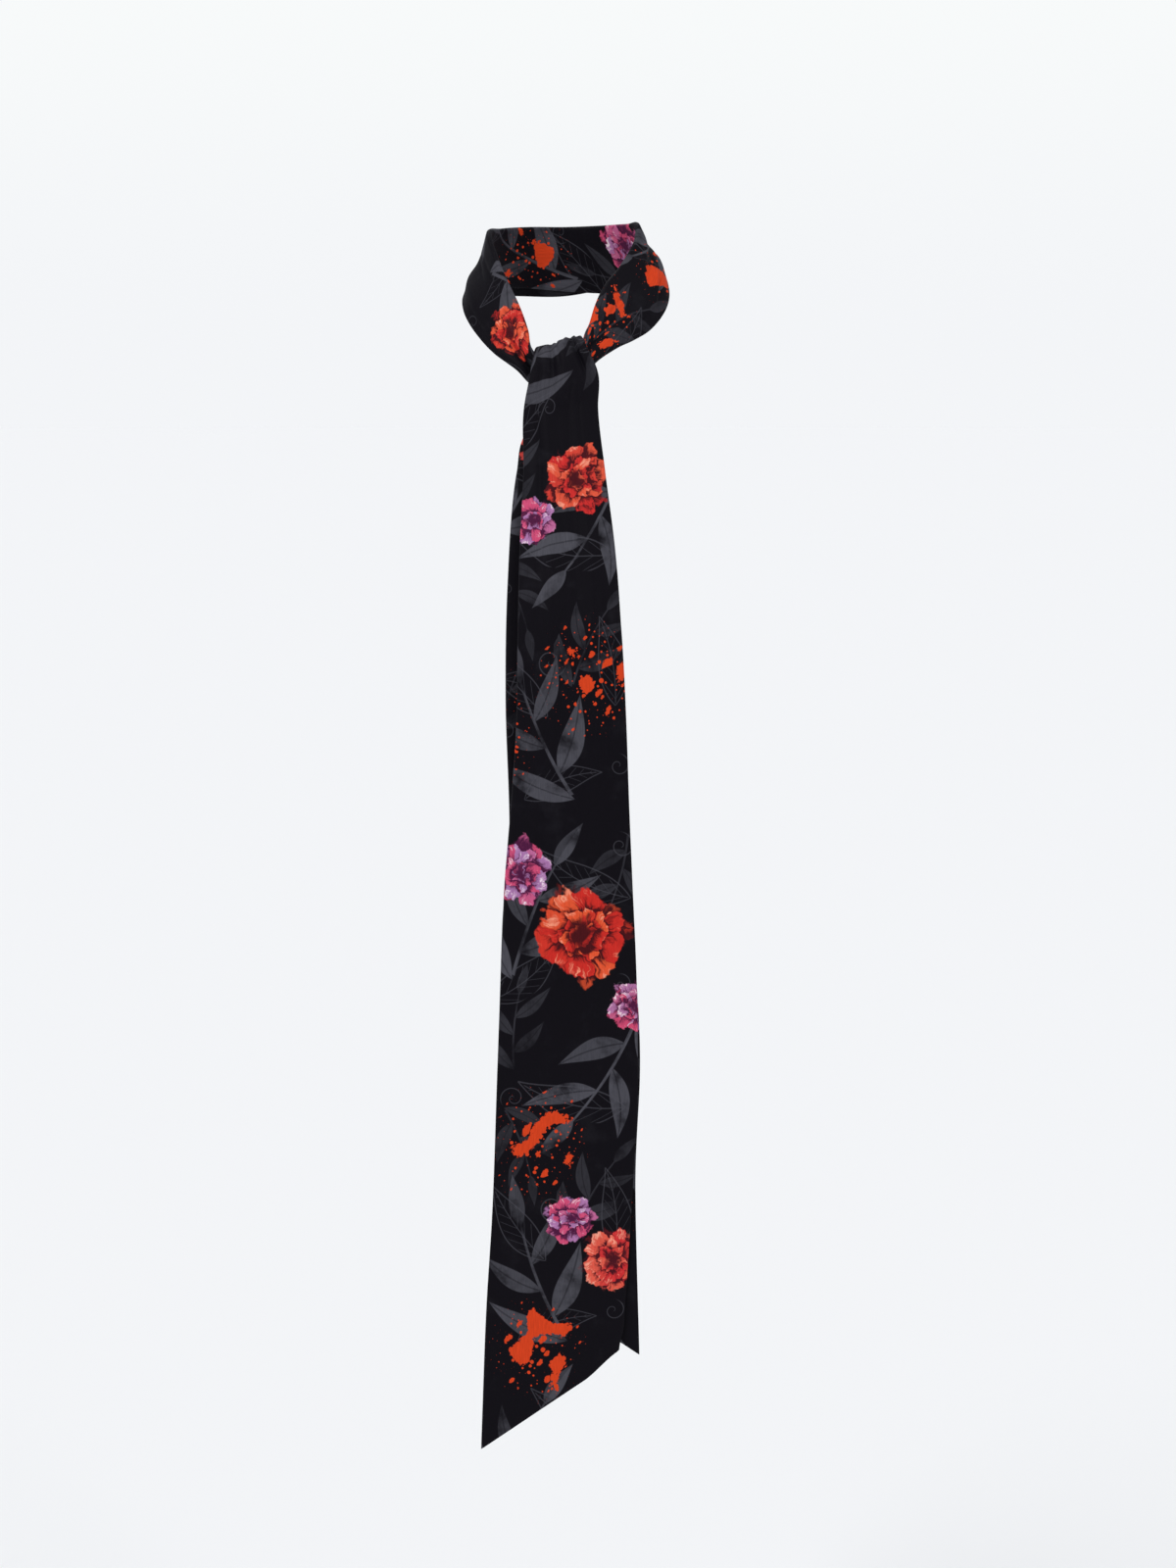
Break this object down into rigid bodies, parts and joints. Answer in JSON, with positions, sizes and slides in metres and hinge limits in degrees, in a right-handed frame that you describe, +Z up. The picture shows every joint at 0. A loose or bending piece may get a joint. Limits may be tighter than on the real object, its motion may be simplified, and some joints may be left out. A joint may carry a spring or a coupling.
{
  "type": "stole",
  "caption": "Long narrow printed stole as worn: folded in half round the neck, tied over itself at the throat, with its slanted ends hanging down the front.",
  "frame": {"origin": "on the inner face of the cloth behind the wearer's neck, in the middle of the folded band", "axes": "+Z up; the wearer faces -Y; +X is to the viewer's right, the wearer's left"},
  "size_m": [0.1812, 0.2365, 1.0542],
  "materials": {
    "back_fall_cloth": "matte printed cloth, near-black ground",
    "neck_left_cloth": "matte printed cloth, near-black ground",
    "neck_back_cloth": "matte printed cloth, near-black ground",
    "neck_right_cloth": "matte printed cloth, near-black ground",
    "knot_wrap_cloth": "matte printed cloth, near-black ground",
    "knot_turn_cloth": "matte printed cloth, near-black ground",
    "front_fall_cloth": "matte printed cloth, near-black ground"
  },
  "bodies": {
    "root": {"back_fall": "back_fall_cloth", "neck_left": "neck_left_cloth", "neck_back": "neck_back_cloth", "neck_right": "neck_right_cloth", "knot_wrap": "knot_wrap_cloth", "knot_turn": "knot_turn_cloth", "front_fall": "front_fall_cloth"}
  },
  "joints": []
}
